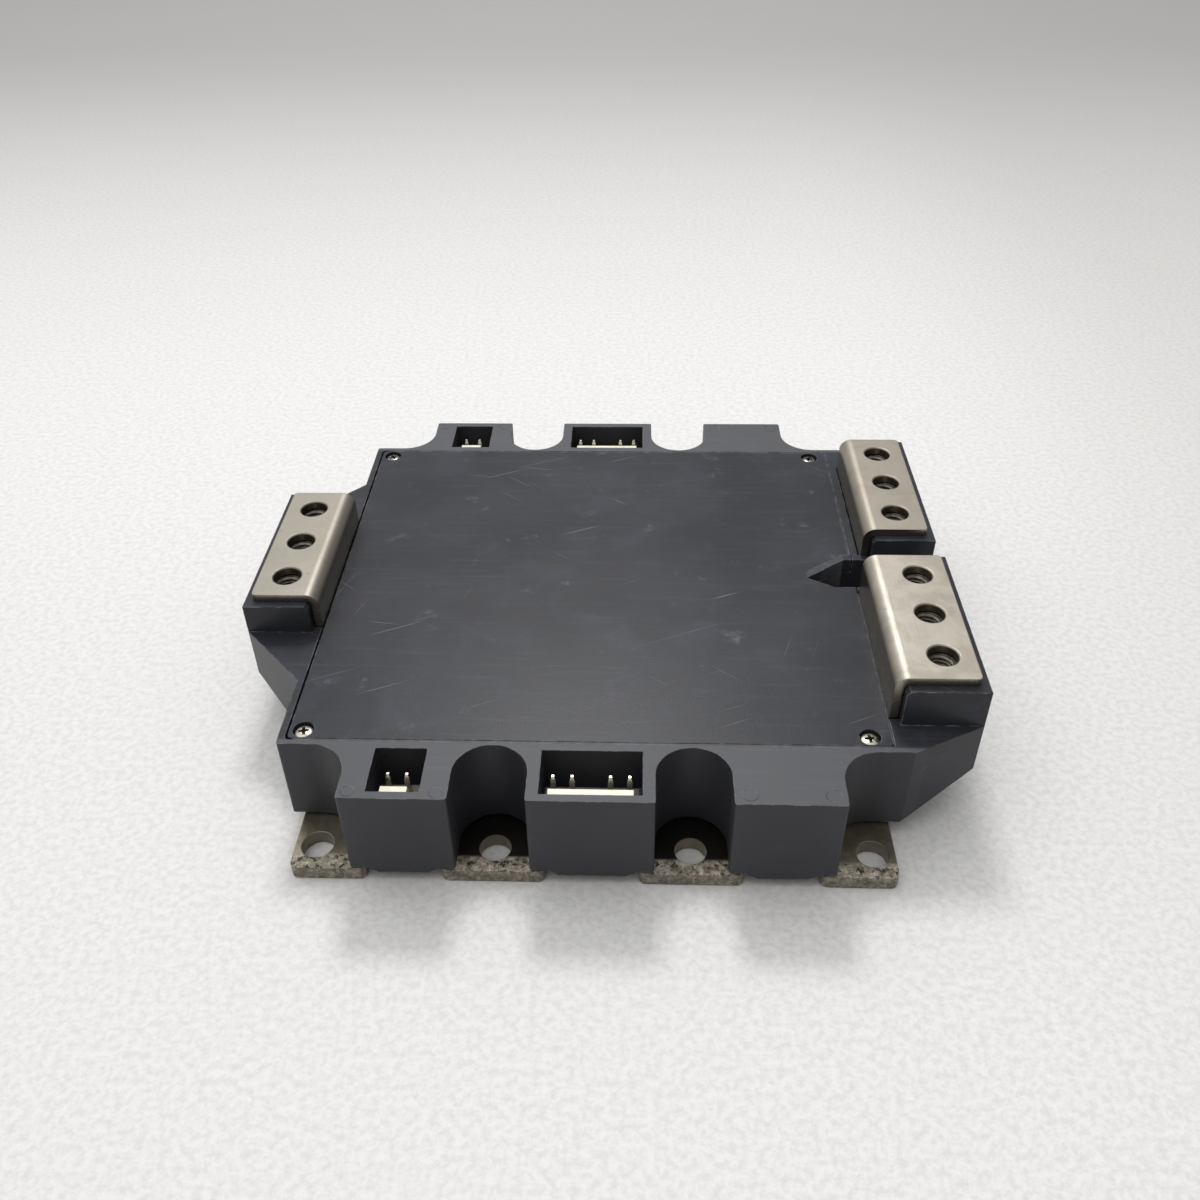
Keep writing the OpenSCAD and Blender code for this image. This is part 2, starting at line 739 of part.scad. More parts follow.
// Square pins with pointed tips
module pins(x, y, ways) {
    top = rim_z - header_sink - latch / 2;
    h = pin_w / 2;
    tip = pin_w / 4;
    color(nickel) for (p = pin_spots(x, ways)) intersection() {
        along_y(y - h, y + h) polygon([[p - h, board_z], [p + h, board_z],
            [p + h, top - pin_w], [p + tip, top], [p - tip, top], [p - h, top - pin_w]]);
        along_x(p, pin_w) polygon([[y - h, board_z], [y + h, board_z],
            [y + h, top - pin_w], [y + tip, top], [y - tip, top], [y - h, top - pin_w]]);
    }
}

module header_front_small() header(small_x, -pin_y, small_ways);
module header_front_large() header(0, -pin_y, large_ways);
module header_back_small() header(small_x, pin_y, small_ways);
module header_back_large() header(0, pin_y, large_ways);
module pins_front_small() pins(small_x, -pin_y, small_ways);
module pins_front_large() pins(0, -pin_y, large_ways);
module pins_back_small() pins(small_x, pin_y, small_ways);
module pins_back_large() pins(0, pin_y, large_ways);

// ---------- gate boards ----------

// Leads of one row as [x, y on the copper]
function lead_spots(row) = concat(
    [for (x = [gate_lead_left, gate_lead_right])
        [x, row * sub_cy + (gate_pad[0] + gate_pad[1]) / 2]],
    [for (x = [-sense_lead_x, sense_lead_x])
        [x, row * sub_cy + emitter_pad[0] + lead_t]]);

// Board along the back wall, with a tongue under each header
module gate_board() {
    board_x0 = small_x - small_hx + tongue_gap;
    board_x1 = max(large_hx - tongue_gap, gate_lead_right) + 2 * lead_t;
    color([0.16, 0.42, 0.25]) difference() {
        union() {
            block([board_x0, board_y0, board_z], [board_x1, board_y1, board_z + board_t]);
            for (t = [[small_x, small_hx - tongue_gap], [0, large_hx - tongue_gap]])
                block([t[0] - t[1], board_y0, board_z], [t[0] + t[1], tongue_y, board_z + board_t]);
        }
        for (p = lead_spots(1)) translate([p[0], lead_y, 0])
            cylinder(d = 2 * lead_t, h = rim_z);
        for (p = concat(pin_spots(small_x, small_ways), pin_spots(0, large_ways)))
            translate([p, pin_y, 0]) cylinder(d = 1.5 * pin_w, h = rim_z);
    }
}

module gate_board_back() gate_board();
module gate_board_front() mirror([0, 1, 0]) gate_board();

// Bent leads from the copper up through the board on the side given by row
module gate_leads(row) {
    top = board_z + board_t + lead_t / 2;
    h = lead_t / 2;
    color(copper) for (p = lead_spots(row)) {
        lo = min(p[1], row * lead_y) - h;
        hi = max(p[1], row * lead_y) + h;
        block([p[0] - h, p[1] - h, chip_z], [p[0] + h, p[1] + h, lead_z + lead_t]);
        block([p[0] - h, lo, lead_z], [p[0] + h, hi, lead_z + lead_t]);
        block([p[0] - h, row * lead_y - h, lead_z], [p[0] + h, row * lead_y + h, top]);
    }
}

module gate_leads_back() gate_leads(1);
module gate_leads_front() gate_leads(-1);

// ---------- power circuit ----------

// One of the four switch groups: left or right (cx), upper or lower (cy)
module at_group(cx, cy) {
    translate([cx * sub_cx, cy * sub_cy, 0]) children();
}

module substrate(cx, cy) {
    color([0.93, 0.93, 0.90]) at_group(cx, cy)
        block([-sub_x / 2, -sub_y / 2, plate_t], [sub_x / 2, sub_y / 2, copper_z]);
}

module copper_pads(cx, cy) {
    color(copper) at_group(cx, cy) for (pad = [emitter_pad, gate_pad, collector_pad])
        block([-pad_hx, pad[0], copper_z], [pad_hx, pad[1], chip_z]);
}

module chips(cx, cy, x, w, tone) {
    color(tone) at_group(cx, cy) for (i = [0:pairs - 1])
        block([i * chip_pitch - last_x + x - w / 2, chip_y0, chip_z],
            [i * chip_pitch - last_x + x + w / 2, chip_y1, bond_z]);
}

module igbts(cx, cy) chips(cx, cy, igbt_x, igbt_w, [0.55, 0.56, 0.60]);
module diodes(cx, cy) chips(cx, cy, diode_x, diode_w, [0.42, 0.43, 0.48]);

// Wire that arches from a pad at y0 to the top of a chip at y1
module bond_wire(x, y0, y1, rise) {
    half = (y1 - y0) / 2;
    r = (half * half + rise * rise) / (2 * rise);
    z = bond_z + wire_t / 2;
    foot_hy = 1.5 * wire_t;
    along_x(x, wire_t) {
        intersection() {
            translate([y0 + half, z + rise - r]) difference() {
                circle(r = r + wire_t / 2);
                circle(r = r - wire_t / 2);
            }
            translate([y0, z]) square([2 * half, rise + wire_t]);
        }
        translate([y0 - foot_hy, chip_z]) square([2 * foot_hy, chip_t + wire_t]);
        translate([y1 - foot_hy, bond_z]) square([2 * foot_hy, wire_t]);
    }
}

module bond_wires(cx, cy) {
    land = emitter_pad[1] - 1.5 * wire_t - clear;
    start = chip_y0 + chip_in / 2;
    gate = (gate_pad[0] + gate_pad[1]) / 2;
    color([0.86, 0.86, 0.84]) at_group(cx, cy) for (i = [0:pairs - 1]) {
        x = i * chip_pitch - last_x;
        for (k = [0, 1, 2])
            bond_wire(x + source_wire_x + k * wire_pitch, land, start, wire_rise);
        for (k = [-0.5, 0.5])
            bond_wire(x + diode_x + k * wire_pitch, land, start, wire_rise);
        bond_wire(x + gate_wire_x, gate, chip_y0 + 2 * wire_t, wire_rise / 2);
    }
}

// ---------- parts ----------

base_plate();
case_seal();
case_frame();
lid();
lid_screws();
terminal_positive();
terminal_negative();
terminal_output();
nuts_positive();
nuts_negative();
nuts_output();
header_front_small();
header_front_large();
header_back_small();
header_back_large();
pins_front_small();
pins_front_large();
pins_back_small();
pins_back_large();
gate_board_front();
gate_board_back();
gate_leads_front();
gate_leads_back();
substrate(-1, 1);  // substrate_upper_left
substrate(1, 1);  // substrate_upper_right
substrate(-1, -1);  // substrate_lower_left
substrate(1, -1);  // substrate_lower_right
copper_pads(-1, 1);  // copper_upper_left
copper_pads(1, 1);  // copper_upper_right
copper_pads(-1, -1);  // copper_lower_left
copper_pads(1, -1);  // copper_lower_right
igbts(-1, 1);  // igbts_upper_left
igbts(1, 1);  // igbts_upper_right
igbts(-1, -1);  // igbts_lower_left
igbts(1, -1);  // igbts_lower_right
diodes(-1, 1);  // diodes_upper_left
diodes(1, 1);  // diodes_upper_right
diodes(-1, -1);  // diodes_lower_left
diodes(1, -1);  // diodes_lower_right
bond_wires(-1, 1);  // wires_upper_left
bond_wires(1, 1);  // wires_upper_right
bond_wires(-1, -1);  // wires_lower_left
bond_wires(1, -1);  // wires_lower_right
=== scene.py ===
"""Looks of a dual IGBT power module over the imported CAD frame: materials, threads and fine marks."""
import math

import bmesh
import bpy
from mathutils import Matrix, Vector


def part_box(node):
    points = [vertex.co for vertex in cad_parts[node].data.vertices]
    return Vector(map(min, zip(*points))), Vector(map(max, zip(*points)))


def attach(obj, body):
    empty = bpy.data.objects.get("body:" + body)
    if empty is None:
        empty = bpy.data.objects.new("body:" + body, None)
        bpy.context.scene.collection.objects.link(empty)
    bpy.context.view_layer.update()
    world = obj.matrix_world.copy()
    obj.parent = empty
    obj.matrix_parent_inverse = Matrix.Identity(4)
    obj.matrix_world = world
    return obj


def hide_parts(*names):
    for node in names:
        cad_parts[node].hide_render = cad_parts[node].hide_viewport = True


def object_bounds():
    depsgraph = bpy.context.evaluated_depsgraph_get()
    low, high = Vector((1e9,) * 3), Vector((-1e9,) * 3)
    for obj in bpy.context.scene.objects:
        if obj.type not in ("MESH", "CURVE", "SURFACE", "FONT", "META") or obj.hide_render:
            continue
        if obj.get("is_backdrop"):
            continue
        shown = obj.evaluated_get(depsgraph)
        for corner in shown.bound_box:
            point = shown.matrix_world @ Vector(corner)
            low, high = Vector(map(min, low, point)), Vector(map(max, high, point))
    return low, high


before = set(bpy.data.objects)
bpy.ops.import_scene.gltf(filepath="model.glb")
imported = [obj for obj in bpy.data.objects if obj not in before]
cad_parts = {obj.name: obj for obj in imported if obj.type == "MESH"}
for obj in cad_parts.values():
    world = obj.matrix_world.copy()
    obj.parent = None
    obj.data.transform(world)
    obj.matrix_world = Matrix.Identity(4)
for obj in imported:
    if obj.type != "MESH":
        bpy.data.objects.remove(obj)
cad_low, cad_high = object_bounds()

MM = 0.001

# places on the module that the materials follow, in millimetres
LID_EDGE = (58.6, 59.2)      # |y| from the lid's field to the towers
NOTCH_X = 21.0               # |x| of the driver notches
NOTCH_SHADE_HALF = (9.2, 8.2)      # half width of the painted shade patch in a notch
NOTCH_SHADE_START = (58.0, 60.0)   # |y| where that patch begins
NOTCH_SHADE_END = (71.6, 70.6)     # |y| where it ends
CORRODED = (70.8, 71.8)      # |y| where the plate's corroded strip begins
LEG = (32.5, 29.0)           # z from a terminal's top down to its leg


# ---------- node helpers ----------

def rgb(code):
    """Linear colour of an sRGB hex code."""
    parts = [int(code[i:i + 2], 16) / 255 for i in (1, 3, 5)]
    return [p / 12.92 if p <= 0.04045 else ((p + 0.055) / 1.055) ** 2.4 for p in parts] + [1.0]


class Surface:
    """A material whose nodes are added one short call at a time."""

    def __init__(self, name, roughness=0.5, metallic=0.0, ior=1.5):
        self.material = bpy.data.materials.new(name)
        self.material.use_nodes = True
        self.tree = self.material.node_tree
        self.shader = self.tree.nodes["Principled BSDF"]
        self.shader.inputs["Roughness"].default_value = roughness
        self.shader.inputs["Metallic"].default_value = metallic
        self.shader.inputs["IOR"].default_value = ior
        self.place = self.node("ShaderNodeTexCoord").outputs["Object"]

    def node(self, kind, **settings):
        made = self.tree.nodes.new(kind)
        for key, value in settings.items():
            setattr(made, key, value)
        return made

    def feed(self, socket, value):
        """Links an output to a socket, or sets the socket to a number or colour."""
        if isinstance(value, bpy.types.NodeSocket):
            self.tree.links.new(value, socket)
        else:
            socket.default_value = value

    def math(self, operation, a, b=0.0, clamp=False):
        made = self.node("ShaderNodeMath", operation=operation, use_clamp=clamp)
        self.feed(made.inputs[0], a)
        self.feed(made.inputs[1], b)
        return made.outputs[0]

    def times(self, first, *others):
        """Product of two or more values."""
        for other in others:
            first = self.math("MULTIPLY", first, other)
        return first

    def stretched(self, x=1.0, y=1.0, z=1.0, turn=0.0):
        """Object coordinates in millimetres, turned about Z and then stretched along the axes."""
        made = self.node("ShaderNodeMapping", vector_type="TEXTURE")
        self.feed(made.inputs["Vector"], self.place)
        made.inputs["Scale"].default_value = (MM / x, MM / y, MM / z)
        made.inputs["Rotation"].default_value = (0, 0, math.radians(turn))
        return made.outputs["Vector"]

    def noise(self, size, detail=3.0, roughness=0.5, stretch=(1, 1, 1), turn=0.0, distortion=0.0):
        """Noise whose blobs are about size millimetres across."""
        made = self.node("ShaderNodeTexNoise")
        self.feed(made.inputs["Vector"], self.stretched(*stretch, turn=turn))
        made.inputs["Scale"].default_value = 1 / size
        made.inputs["Detail"].default_value = detail
        made.inputs["Roughness"].default_value = roughness
        made.inputs["Distortion"].default_value = distortion
        return made.outputs["Fac"]

    def cells(self, size, feature="F1", stretch=(1, 1, 1), turn=0.0):
        made = self.node("ShaderNodeTexVoronoi", feature=feature)
        self.feed(made.inputs["Vector"], self.stretched(*stretch, turn=turn))
        made.inputs["Scale"].default_value = 1 / size
        return made.outputs["Distance"]

    def step(self, value, low, high):
        """0 below low and 1 above high, smooth between them."""
        made = self.node("ShaderNodeMapRange", interpolation_type="SMOOTHSTEP")
        self.feed(made.inputs["Value"], value)
        made.inputs["From Min"].default_value = low
        made.inputs["From Max"].default_value = high
        return made.outputs["Result"]

    def mix(self, amount, a, b):
        made = self.node("ShaderNodeMix", data_type="RGBA")
        self.feed(made.inputs["Factor"], amount)
        self.feed(made.inputs["A"], a)
        self.feed(made.inputs["B"], b)
        return made.outputs["Result"]

    def edges(self, radius, low, high):
        """1 on edges rounded over radius millimetres, 0 on flat faces."""
        bevel = self.node("ShaderNodeBevel", samples=6)
        bevel.inputs["Radius"].default_value = radius * MM
        flat = self.node("ShaderNodeNewGeometry").outputs["Normal"]
        dot = self.node("ShaderNodeVectorMath", operation="DOT_PRODUCT")
        self.feed(dot.inputs[0], bevel.outputs["Normal"])
        self.feed(dot.inputs[1], flat)
        return self.step(self.math("SUBTRACT", 1.0, dot.outputs["Value"]), low, high)

    def up(self, low=0.5, high=0.9):
        """1 on faces that look up."""
        normal = self.node("ShaderNodeSeparateXYZ")
        self.feed(normal.inputs[0], self.node("ShaderNodeNewGeometry").outputs["Normal"])
        return self.step(normal.outputs["Z"], low, high)

    def along(self, axis):
        """Object coordinate along an axis, in millimetres."""
        split = self.node("ShaderNodeSeparateXYZ")
        self.feed(split.inputs[0], self.place)
        return self.math("MULTIPLY", split.outputs[axis], 1 / MM)

    def color(self, value):
        self.feed(self.shader.inputs["Base Color"], value)
        return self

    def rough(self, value):
        self.feed(self.shader.inputs["Roughness"], value)
        return self

    def relief(self, height, depth, radius=0.0):
        """Bump of depth millimetres, over edges rounded by radius millimetres."""
        bump = self.node("ShaderNodeBump")
        bump.inputs["Distance"].default_value = depth * MM
        self.feed(bump.inputs["Height"], height)
        if radius:
            bevel = self.node("ShaderNodeBevel", samples=6)
            bevel.inputs["Radius"].default_value = radius * MM
            self.feed(bump.inputs["Normal"], bevel.outputs["Normal"])
        self.feed(self.shader.inputs["Normal"], bump.outputs["Normal"])
        return self


# ---------- materials ----------

def housing_plastic(name):
    """Moulded charcoal plastic: glossier, scuffed middle, matt towers with dust and a painted sheen on
    their tops, rubbed edges.
    """
    s = Surface(name)
    tower = s.step(s.math("ABSOLUTE", s.along("Y")), *LID_EDGE)
    middle = s.math("SUBTRACT", 1.0, tower)
    top = s.up(0.7, 0.98)
    cloud = s.noise(26, detail=4)
    tone = s.mix(s.step(cloud, 0.3, 0.7), rgb("#2e2f34"), rgb("#36373c"))
    speck = s.step(s.noise(1.1, detail=5, roughness=0.7), 0.66, 0.78)
    tone = s.mix(s.times(speck, 0.16), tone, rgb("#6b6c70"))
    scratches = ((2.2, 24, 0.73), (1.6, -38, 0.74), (2.8, 71, 0.73), (1.3, -8, 0.76))
    hairs = [s.step(s.noise(size, detail=1.5, stretch=(0.06, 3.2, 1), turn=turn), low, low + 0.05)
             for size, turn, low in scratches]
    patch = s.step(s.noise(30, detail=1.0), 0.44, 0.6)
    marks = hairs[0]
    for hair in hairs[1:]:
        marks = s.math("MAXIMUM", marks, hair)
    haze = s.step(s.noise(15, detail=4, roughness=0.6, distortion=0.8), 0.5, 0.72)
    tone = s.mix(s.times(s.times(haze, middle), 0.3), tone, rgb("#464957"))
    streak = s.step(s.noise(1.3, detail=4, roughness=0.6, stretch=(0.07, 1, 1)), 0.52, 0.75)
    tone = s.mix(s.times(s.times(streak, top), 0.12), tone, rgb("#6b6d74"))
    keep = s.math("ADD", 0.25, s.times(middle, 0.75))
    marks = s.times(s.times(marks, patch), s.times(keep, top))
    rub = s.times(s.step(s.noise(9, detail=6, roughness=0.7), 0.6, 0.8), 0.26)
    scuff = s.times(s.step(s.noise(4.5, detail=7, roughness=0.8), 0.68, 0.76), 0.5)
    worn = s.math("MAXIMUM", s.times(marks, 0.45),
                  s.times(s.math("MAXIMUM", rub, scuff), keep))
    # dust and painted sheen: the up faces of the towers lighter, as where the high light falls on them
    tone = s.mix(s.times(s.times(top, tower), 0.17), tone, rgb("#85868b"))
    tone = s.mix(worn, tone, rgb("#a1a4aa"))
    broken = s.step(s.noise(3.2, detail=6, roughness=0.65), 0.42, 0.62)
    edge = s.times(s.edges(0.4, 0.02, 0.2), broken)
    tone = s.mix(s.times(edge, 0.6), tone, rgb("#b4b6ba"))
    s.color(tone)
    s.feed(s.shader.inputs["Specular IOR Level"], s.math("ADD", 0.2, s.times(tower, 0.24)))
    gloss = s.math("ADD", s.times(cloud, 0.14), s.times(worn, 0.25))
    gloss = s.math("ADD", gloss, s.times(tower, 0.18))
    s.rough(s.math("ADD", 0.27, gloss))
    grain = s.math("ADD", s.noise(0.35, detail=2), s.times(cloud, 1.5))
    s.relief(s.math("SUBTRACT", grain, s.times(marks, 1.2)), 0.03, radius=0.3)
    return s.material


def terminal_metal(name):
    """Satin nickel plate with faint grain, smudges, smooth sides, greyed lower legs and painted shade
    on the left terminal.
    """
    s = Surface(name, metallic=1.0)
    grain = s.noise(0.5, detail=3, stretch=(1, 0.06, 1))
    smudge = s.noise(9, detail=5, roughness=0.62, distortion=0.6)
    tone = s.mix(s.step(smudge, 0.35, 0.7), rgb("#b9b2a6"), rgb("#a39c90"))
    back = s.times(s.step(s.along("X"), 0, 20), s.step(s.along("Y"), 0, 8))
    tone = s.mix(s.times(back, 0.5), tone, rgb("#8f887c"))
    # painted shade: the left terminal's colour darkened where its top catches more light
    painted_shade_left = s.step(s.along("X"), 0, -20)
    tone = s.mix(s.times(painted_shade_left, 0.75), tone, rgb("#8d887e"))
    stain = s.step(s.noise(3.2, detail=6, roughness=0.72), 0.6, 0.74)
    tone = s.mix(s.times(stain, 0.45), tone, rgb("#6f6758"))
    dots = s.step(s.noise(0.8, detail=4, roughness=0.7), 0.68, 0.74)
    tone = s.mix(s.times(dots, 0.45), tone, rgb("#4f4a42"))
    low = s.step(s.along("Z"), *LEG)
    tone = s.mix(s.times(low, 0.7), tone, rgb("#b3b09e"))
    s.color(tone)
    flat = s.math("ADD", 0.2, s.times(s.up(0.0, 0.35), 0.18))
    s.rough(s.math("ADD", flat, s.times(smudge, 0.16)))
    s.relief(grain, 0.012, radius=0.3)
    return s.material


def plate_metal(name):
    """Nickel-plated base plate: tarnished, pitted and pale along its front and back edges, with
    painted shade on the tabs inside the driver notches.
    """
    s = Surface(name, metallic=0.9)
    cloud = s.noise(7, detail=6, roughness=0.65)
    reach = s.math("ABSOLUTE", s.along("Y"))
    aside = s.math("ABSOLUTE", s.math("SUBTRACT", s.math("ABSOLUTE", s.along("X")), NOTCH_X))
    tone = s.mix(s.step(cloud, 0.35, 0.68), rgb("#a8a08e"), rgb("#857c6b"))
    # painted shade: the up faces of the tabs inside the driver notches, nearly black where the notch
    # walls shade them
    notch = s.times(s.step(reach, *NOTCH_SHADE_START), s.step(reach, *NOTCH_SHADE_END))
    notch_shade = s.times(s.step(aside, *NOTCH_SHADE_HALF), notch, s.up(0.3, 0.8))
    tone = s.mix(s.times(notch_shade, 0.93), tone, rgb("#1d1c1e"))
    strip = s.step(reach, *CORRODED)
    pale = s.step(s.noise(1.3, detail=5, roughness=0.7), 0.42, 0.62)
    tone = s.mix(s.times(s.times(pale, strip), 0.8), tone, rgb("#dacfbf"))
    rust = s.step(s.noise(1.5, detail=7, roughness=0.78, distortion=0.5), 0.53, 0.58)
    rust = s.times(rust, s.math("ADD", s.times(strip, 0.85), 0.1))
    tone = s.mix(rust, tone, rgb("#262220"))
    side = s.math("SUBTRACT", 1.0, s.up(0.3, 0.8))
    tone = s.mix(s.times(side, 0.6), tone, rgb("#756f63"))
    s.color(tone)
    s.rough(s.math("ADD", 0.22, s.times(s.math("ADD", cloud, strip), 0.2)))
    dull = s.math("MAXIMUM", s.times(rust, 0.8), s.times(pale, strip, 0.85))
    s.feed(s.shader.inputs["Metallic"], s.math("SUBTRACT", 0.9, dull))
    s.relief(s.math("ADD", cloud, s.times(rust, -0.8)), 0.06, radius=0.3)
    return s.material


def small_metal(name, base, worn, roughness=0.3):
    """Plated small parts: a base tone, mottled with a second one."""
    s = Surface(name, metallic=1.0)
    mottle = s.noise(1.2, detail=5, roughness=0.6)
    s.color(s.mix(s.step(mottle, 0.4, 0.7), rgb(base), rgb(worn)))
    s.rough(s.math("ADD", roughness, s.times(mottle, 0.15)))
    s.relief(mottle, 0.02, radius=0.1)
    return s.material


def screw_metal(name, recess_z):
    """Plated screws, tarnished in the back row, with painted shade in the recess below recess_z mm."""
    s = Surface(name, metallic=1.0)
    mottle = s.noise(1.2, detail=5, roughness=0.6)
    tone = s.mix(s.step(mottle, 0.4, 0.7), rgb("#bdb8ac"), rgb("#959082"))
    tone = s.mix(s.times(s.step(s.along("Y"), -5, 5), 0.85), tone, rgb("#6c6b68"))
    # painted shade: the cross recess below recess_z is darkened where shade falls in it
    painted_shade = s.step(s.along("Z"), recess_z, recess_z - 0.25)
    s.color(s.mix(s.times(painted_shade, 0.93), tone, rgb("#1c1b1b")))
    s.rough(s.math("ADD", 0.25, s.times(painted_shade, 0.4)))
    s.relief(mottle, 0.02, radius=0.1)
    return s.material


def plain_plastic(name, base, shade, roughness=0.4, waxy=0.0, shade_z=None):
    """Smooth unpainted plastic, with painted shade below the given height in millimetres, where one is
    given.
    """
    s = Surface(name, ior=1.5)
    cloud = s.noise(3, detail=3)
    tone = s.mix(s.step(cloud, 0.35, 0.7), rgb(base), rgb(shade))
    # painted shade: darker towards the bottom, below the given height
    if shade_z:
        painted_shade = s.step(s.along("Z"), shade_z, shade_z - 1.5)
        tone = s.mix(s.times(painted_shade, 0.8), tone, rgb("#4a4640"))
    s.color(tone)
    s.rough(s.math("ADD", roughness, s.times(cloud, 0.1)))
    s.shader.inputs["Subsurface Weight"].default_value = waxy
    s.shader.inputs["Subsurface Radius"].default_value = (0.8 * MM, 0.6 * MM, 0.4 * MM)
    s.shader.inputs["Subsurface Scale"].default_value = 1.0
    s.relief(s.noise(0.3, detail=2), 0.01, radius=0.15)
    return s.material


def circuit_board(name):
    """Green solder mask with the pale weave of the laminate just showing."""
    s = Surface(name, roughness=0.35)
    weave = s.noise(0.6, detail=1, stretch=(1, 0.3, 1))
    s.color(s.mix(s.step(weave, 0.4, 0.7), rgb("#1f6b3a"), rgb("#2b7a48")))
    s.relief(weave, 0.02, radius=0.1)
    return s.material


def bare_copper(name):
    s = Surface(name, metallic=1.0, roughness=0.35)
    patina = s.noise(4, detail=5, roughness=0.6)
    s.color(s.mix(s.step(patina, 0.4, 0.7), rgb("#c98a62"), rgb("#a86a48")))
    s.rough(s.math("ADD", 0.28, s.times(patina, 0.2)))
    return s.material


def chip_surface(name):
    """Metallised silicon with a fine cell grid."""
    s = Surface(name, metallic=0.6, roughness=0.25)
    grid = s.cells(0.8, feature="DISTANCE_TO_EDGE")
    s.color(s.mix(s.step(grid, 0.04, 0.12), rgb("#6d7079"), rgb("#8f939c")))
    return s.material


HOUSING = housing_plastic("housing_plastic")
SCREW_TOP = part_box("lid_screws")[1].z

MATERIALS = {
    "lid": HOUSING,
    "case_frame": HOUSING,
    "base_plate": plate_metal("tarnished_plate"),
    "terminal": terminal_metal("terminal_nickel"),
    # plated steel, given a darker tone as painted shade for the terminal holes the nuts sit in
    "nuts": small_metal("nut_steel", "#78736a", "#585349", 0.3),
    "lid_screws": screw_metal("screw_nickel", SCREW_TOP / MM - 0.45),
    "pins": small_metal("pin_tin", "#c4c2bd", "#a9a7a1", 0.16),
    # the header base deep in its pocket gets painted shade below z 20.5 mm
    "header": plain_plastic("header_nylon", "#f2ecda", "#e9e1ca", 0.35, waxy=0.25, shade_z=20.5),
    "case_seal": plain_plastic("seal_silicone", "#c9c6bc", "#b7b3a7", 0.55),
    "gate_board": circuit_board("board_mask"),
    "gate_leads": small_metal("lead_copper", "#c08058", "#9c6242", 0.3),
    "substrate": plain_plastic("ceramic", "#e8e6df", "#dcd9d0", 0.3),
    "copper": bare_copper("etched_copper"),
    "igbts": chip_surface("igbt_silicon"),
    "diodes": chip_surface("diode_silicon"),
    "wires": small_metal("bond_aluminium", "#d6d6d4", "#bcbcba", 0.25),
}

for node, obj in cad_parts.items():
    family = next(key for key in MATERIALS if node.startswith(key))
    obj.data.materials.clear()
    obj.data.materials.append(MATERIALS[family])


# ---------- pieces ----------

def piece(name, mesh, material, stands_for=None):
    """Puts a mesh in the scene on the module's body with its material, and hides the CAD part it
    stands for.
    """
    obj = bpy.data.objects.new(name, mesh)
    bpy.context.scene.collection.objects.link(obj)
    obj.data.materials.append(material)
    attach(obj, "root")
    if stands_for:
        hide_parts(stands_for)
    return obj


def solid_groups(node):
    """Centre (x, y) and (low z, high z) of each separate solid of a node, in metres."""
    mesh = bmesh.new()
    mesh.from_mesh(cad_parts[node].data)
    bmesh.ops.remove_doubles(mesh, verts=mesh.verts, dist=1e-6)
    groups, seen = [], set()
    for start in mesh.verts:
        if start in seen:
            continue
        stack, found = [start], []
        seen.add(start)
        while stack:
            vert = stack.pop()
            found.append(vert.co.copy())
            for edge in vert.link_edges:
                other = edge.other_vert(vert)
                if other not in seen:
                    seen.add(other)
                    stack.append(other)
        low = [min(p[k] for p in found) for k in range(3)]
        high = [max(p[k] for p in found) for k in range(3)]
        groups.append((Vector(((low[0] + high[0]) / 2, (low[1] + high[1]) / 2)), low[2], high[2]))
    mesh.free()
    return groups


def revolve(mesh, profile, centre, steps=48):
    """Adds the closed ring swept by a profile of (radius, z) points round a vertical axis."""
    rings = []
    for i in range(steps):
        a = 2 * math.pi * i / steps
        rings.append([mesh.verts.new((centre[0] + r * math.cos(a), centre[1] + r * math.sin(a), z))
                      for r, z in profile])
    for i in range(steps):
        here, there = rings[i], rings[(i + 1) % steps]
        for k in range(len(profile)):
            n = (k + 1) % len(profile)
            mesh.faces.new((here[k], there[k], there[n], here[n]))


def finished(mesh, name, smooth_angle=40):
    """Turns a bmesh into a mesh with clean normals, smooth except at its corners."""
    bmesh.ops.recalc_face_normals(mesh, faces=mesh.faces)
    data = bpy.data.meshes.new(name)
    mesh.to_mesh(data)
    mesh.free()
    for polygon in data.polygons:
        polygon.use_smooth = True
    data.set_sharp_from_angle(angle=math.radians(smooth_angle))
    return data


def threaded_nut(mesh, centre, low, high, flats, bore):
    """Hexagon nut with an internal thread, chamfered at both mouths of its bore."""
    pitch, steps, per_turn = 1.0 * MM, 36, 8
    depth = 0.54 * pitch
    rows = int((high - low) / pitch * per_turn) + 1
    grid = []
    for row in range(rows + 1):
        z = low + (high - low) * row / rows
        line = []
        for i in range(steps):
            turn = i / steps
            phase = ((z - low) / pitch - turn) % 1.0
            groove = min(1.0, max(0.0, 1.6 * (1 - abs(2 * phase - 1)) - 0.3))
            mouth = max(0.0, 0.6 * MM - min(z - low, high - z)) / (0.6 * MM)
            r = bore + depth * max(groove, mouth)
            a = 2 * math.pi * turn
            line.append(mesh.verts.new((centre[0] + r * math.cos(a),
                                        centre[1] + r * math.sin(a), z)))
        grid.append(line)
    for row in range(rows):
        for i in range(steps):
            n = (i + 1) % steps
            mesh.faces.new((grid[row][i], grid[row][n], grid[row + 1][n], grid[row + 1][i]))
    for z, rim in ((low, grid[0]), (high, grid[-1])):
        outer = []
        for i in range(steps):
            a = 2 * math.pi * i / steps
            r = flats / 2 / math.cos(a % (math.pi / 3) - math.pi / 6)
            outer.append(mesh.verts.new((centre[0] + r * math.cos(a),
                                         centre[1] + r * math.sin(a), z)))
        for i in range(steps):
            n = (i + 1) % steps
            mesh.faces.new((rim[i], rim[n], outer[n], outer[i]))
        if z == low:
            below = outer
    for i in range(steps):
        n = (i + 1) % steps
        mesh.faces.new((below[i], below[n], outer[n], outer[i]))


for node in ("nuts_positive", "nuts_negative", "nuts_output"):
    build = bmesh.new()
    for centre, low, high in solid_groups(node):
        threaded_nut(build, centre, low, high, flats=10 * MM, bore=2.5 * MM)
    piece(node + "_threaded", finished(build, node + "_threaded"), MATERIALS["nuts"],
          node)


